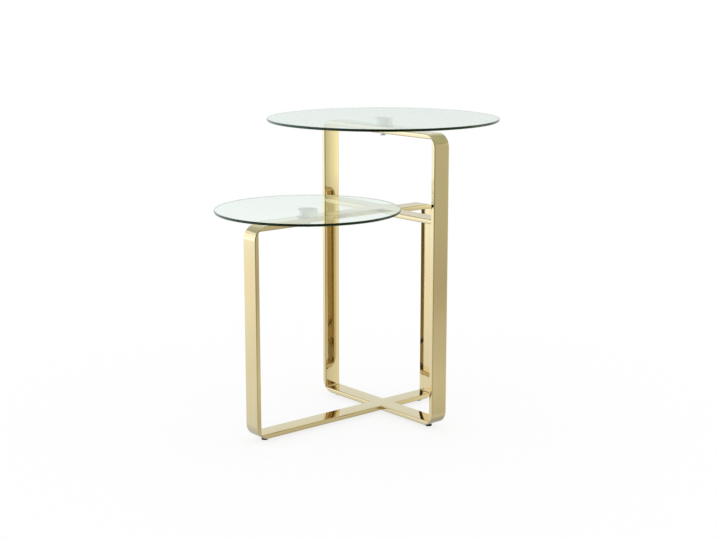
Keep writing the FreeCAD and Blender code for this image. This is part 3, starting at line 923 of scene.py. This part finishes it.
def card_material():
    """A glowing card, dimmer in its lower part, whose right edge is soft."""
    material, tree = blank_material("soft_card")
    place = tree.nodes.new("ShaderNodeSeparateXYZ")
    tree.links.new(object_coordinates(tree), place.inputs[0])
    glow = tree.nodes.new("ShaderNodeEmission")
    lit = ranged(tree, place.outputs["Y"], 0, 1, start=CARD_DIM_TO, end=CARD_BRIGHT_FROM)
    tree.links.new(blended(tree, lit, CARD_DIM, CARD_BRIGHT), glow.inputs["Color"])
    cover = ranged(tree, place.outputs["X"], 0, 1, start=CARD_RIGHT, end=CARD_FADED_IN)
    show(tree, mixed(tree, cover, transparent(tree), glow.outputs["Emission"]))
    return material


floor_corners = [(FLOOR_REACH * a, FLOOR_REACH * b) for a, b in ((-1, -1), (1, -1), (1, 1), (-1, 1))]
floor = flat_stage("studio_floor", floor_corners, floor_material())
floor.visible_glossy = False

# a pale card to the right of the table, that only reflections show
card_corners = [
    (CARD_RIGHT, CARD_LOW),
    (CARD_LEFT, CARD_LOW),
    (CARD_LEFT, CARD_HIGH),
    (CARD_RIGHT, CARD_HIGH),
]
card = flat_stage("studio_card", card_corners, card_material())
away = Vector((math.cos(CARD_BEARING), math.sin(CARD_BEARING), 0))
leftward = Vector((-away.y, away.x, 0))
card.matrix_world = Matrix(
    (
        (leftward.x, 0, away.x, CROSSING_X * MM + CARD_AWAY * away.x),
        (leftward.y, 0, away.y, CARD_AWAY * away.y),
        (0, 1, 0, 0),
        (0, 0, 0, 1),
    )
)
card.visible_camera = False
card.visible_diffuse = False
card.visible_transmission = False
card.visible_shadow = False

# The studio that polished metal and glass mirror, by direction. Each of its four sides has colours
# from below upwards, each with the sine of its angle above the level. Where the photo's metal
# mirrors a side, its colours started as what is seen there, divided by the metal's own colour. The
# others were guessed, and most were then changed.
STUDIO = {
    "left_back": (
        (-0.75, (0.6, 0.66, 0.72)),
        (-0.6, (0.85, 0.96, 1.2)),
        (-0.34, (0.95, 1.1, 1.32)),
        (-0.276, (1.17, 1.28, 1.38)),
        (-0.208, (1.38, 1.48, 1.56)),
        (-0.165, (1.55, 1.75, 1.95)),
        (-0.117, (1.6, 1.9, 2.35)),
        (-0.05, (1.8, 2.15, 2.8)),
        (0.04, (1.9, 2.2, 2.8)),
        (0.14, (1.75, 1.95, 2.2)),
        (0.48, (1.75, 1.95, 2.25)),
        (0.53, (0.55, 0.6, 0.62)),
        (0.65, (0.6, 0.66, 0.68)),
        (0.85, (1.0, 1.05, 1.05)),
    ),
    "right_front": (
        (-0.75, (0.6, 0.66, 0.72)),
        (-0.62, (0.82, 0.87, 0.88)),
        (-0.45, (0.88, 0.93, 0.91)),
        (-0.34, (0.78, 0.81, 0.74)),
        (-0.309, (0.76, 0.78, 0.7)),
        (-0.28, (0.9, 0.96, 0.88)),
        (-0.25, (0.82, 0.85, 0.77)),
        (-0.215, (0.7, 0.71, 0.62)),
        (-0.15, (0.77, 0.81, 0.72)),
        (-0.1, (0.78, 0.83, 0.75)),
        (0.3, (0.78, 0.83, 0.75)),
        (0.38, (0.64, 0.7, 0.54)),
        (0.68, (0.64, 0.7, 0.56)),
        (0.85, (1.0, 1.05, 1.02)),
    ),
    "behind": (
        (-0.75, (0.5, 0.56, 0.6)),
        (-0.5, (0.8, 0.85, 0.9)),
        (-0.34, (1.0, 1.0, 1.0)),
        (-0.276, (1.31, 1.43, 1.7)),
        (-0.208, (1.57, 1.85, 2.1)),
        (-0.14, (1.1, 1.1, 1.1)),
        (-0.05, (0.85, 0.88, 0.85)),
        (0.05, (0.82, 0.86, 0.83)),
        (0.14, (0.85, 0.88, 0.85)),
        (0.2, (0.98, 1.0, 0.96)),
        (0.28, (1.02, 1.13, 1.2)),
        (0.35, (1.05, 1.12, 1.08)),
        (0.6, (0.95, 1.05, 1.1)),
        (0.7, (0.62, 0.68, 0.6)),
        (0.85, (1.0, 1.05, 1.02)),
    ),
    "camera": (
        (-0.34, (0.8, 0.8, 0.7)),
        (-0.276, (0.6, 0.61, 0.52)),
        (-0.208, (0.4, 0.39, 0.26)),
        (-0.139, (0.2, 0.2, 0.12)),
        (0.0, (0.08, 0.09, 0.05)),
        (0.34, (0.12, 0.12, 0.09)),
        (0.85, (0.2, 0.2, 0.14)),
        (0.95, (1.0, 1.0, 1.0)),
    ),
}
# a ramp's colours go up to 1, so they are divided by this and multiplied by it afterwards
BRIGHTEST = 3.0
# keeps the sideways part of a direction above zero where it points straight up or down
LEAST_LEVEL_SQUARED = 0.0001


def side_shares(tree, direction):
    """How much of each side a direction shows: the four shares add up to 1."""
    dx, dy, dz = direction
    beside_up = calculated(tree, "SUBTRACT", 1, calculated(tree, "MULTIPLY", dz, dz))
    level = calculated(tree, "SQRT", calculated(tree, "MAXIMUM", beside_up, LEAST_LEVEL_SQUARED))

    def cosine(operation, first, second):
        both = calculated(tree, operation, first, second)
        diagonal = calculated(tree, "MULTIPLY", both, math.sqrt(0.5))
        return calculated(tree, "DIVIDE", diagonal, level)

    def lobe(cosine_to_side, sign):
        """The square of a cosine where it is positive."""
        part = calculated(tree, "MAXIMUM", calculated(tree, "MULTIPLY", cosine_to_side, sign), 0)
        return calculated(tree, "MULTIPLY", part, part)

    toward_back, toward_left = cosine("ADD", dx, dy), cosine("SUBTRACT", dy, dx)
    return {
        "left_back": lobe(toward_left, 1),
        "right_front": lobe(toward_left, -1),
        "behind": lobe(toward_back, 1),
        "camera": lobe(toward_back, -1),
    }


def studio_ramp(tree, height, stops):
    node = tree.nodes.new("ShaderNodeValToRGB")
    node.color_ramp.interpolation = "EASE"
    elements = node.color_ramp.elements
    while len(elements) > 1:
        elements.remove(elements[-1])
    elements[0].position = stops[0][0] / 2 + 0.5
    for sine, _ in stops[1:]:
        elements.new(sine / 2 + 0.5)
    for element, (_, colour) in zip(elements, stops):
        element.color = (*[c / BRIGHTEST for c in colour], 1)
    tree.links.new(height, node.inputs["Fac"])
    return node.outputs["Color"]


def studio_light(tree):
    """The four sides' colours, added up for the direction that is looked in."""
    separated = tree.nodes.new("ShaderNodeSeparateXYZ")
    tree.links.new(tree.nodes.new("ShaderNodeTexCoord").outputs["Generated"], separated.inputs[0])
    direction = [separated.outputs[axis] for axis in "XYZ"]
    shares = side_shares(tree, direction)
    height = calculated(tree, "MULTIPLY_ADD", direction[2], 0.5, 0.5)
    total = None
    for side, stops in STUDIO.items():
        lit = tree.nodes.new("ShaderNodeVectorMath")
        lit.operation = "SCALE"
        tree.links.new(studio_ramp(tree, height, stops), lit.inputs[0])
        tree.links.new(calculated(tree, "MULTIPLY", shares[side], BRIGHTEST), lit.inputs["Scale"])
        if total is None:
            total = lit.outputs[0]
            continue
        added = tree.nodes.new("ShaderNodeVectorMath")
        added.operation = "ADD"
        tree.links.new(total, added.inputs[0])
        tree.links.new(lit.outputs[0], added.inputs[1])
        total = added.outputs[0]
    return total


def build_world():
    """Plain white light for everything but mirrored rays, which show the studio."""
    world = bpy.data.worlds.new("studio")
    bpy.context.scene.world = world
    world.use_nodes = True
    tree = world.node_tree
    tree.nodes.clear()
    mirrored = tree.nodes.new("ShaderNodeBackground")
    tree.links.new(studio_light(tree), mirrored.inputs["Color"])
    plain = tree.nodes.new("ShaderNodeBackground")
    plain.inputs["Color"].default_value = (1, 1, 1, 1)
    # a ray bent by glass counts as glossy too, but only a reflected one has a glossy depth
    path = tree.nodes.new("ShaderNodeLightPath")
    reflected = calculated(tree, "MINIMUM", path.outputs["Glossy Depth"], 1)
    choice = calculated(tree, "MULTIPLY", path.outputs["Is Glossy Ray"], reflected)
    surface = mixed(tree, choice, plain.outputs["Background"], mirrored.outputs["Background"])
    output = tree.nodes.new("ShaderNodeOutputWorld")
    tree.links.new(surface, output.inputs["Surface"])


build_world()

# ---------------------------------------------------------------- camera

# the photo's width and the fitted focal length in its pixels, and the sensor's width in millimetres
PHOTO_WIDTH, FOCAL_LENGTH, SENSOR_WIDTH = 716, 1393.6, 36
CAMERA_PLACE = (-1.73515, -2.0687, 0.8558)
# it looks along these shares of X and Y, and down by this angle
CAMERA_ALONG_X, CAMERA_ALONG_Y, CAMERA_DOWN = 0.6438, 0.7652, math.radians(11.61)
NEAREST, FARTHEST = 0.05, 100

camera_data = bpy.data.cameras.new("photo_camera")
camera_data.sensor_width = SENSOR_WIDTH
camera_data.lens = FOCAL_LENGTH / PHOTO_WIDTH * SENSOR_WIDTH
camera_data.clip_start, camera_data.clip_end = NEAREST, FARTHEST
camera = bpy.data.objects.new("photo_camera", camera_data)
bpy.context.scene.collection.objects.link(camera)
camera.location = CAMERA_PLACE
level_part = math.cos(CAMERA_DOWN)
look = Vector((CAMERA_ALONG_X * level_part, CAMERA_ALONG_Y * level_part, -math.sin(CAMERA_DOWN)))
camera.rotation_mode = "QUATERNION"
camera.rotation_quaternion = look.to_track_quat("-Z", "Y")
bpy.context.scene.camera = camera

bpy.context.scene.view_settings.view_transform = "Standard"
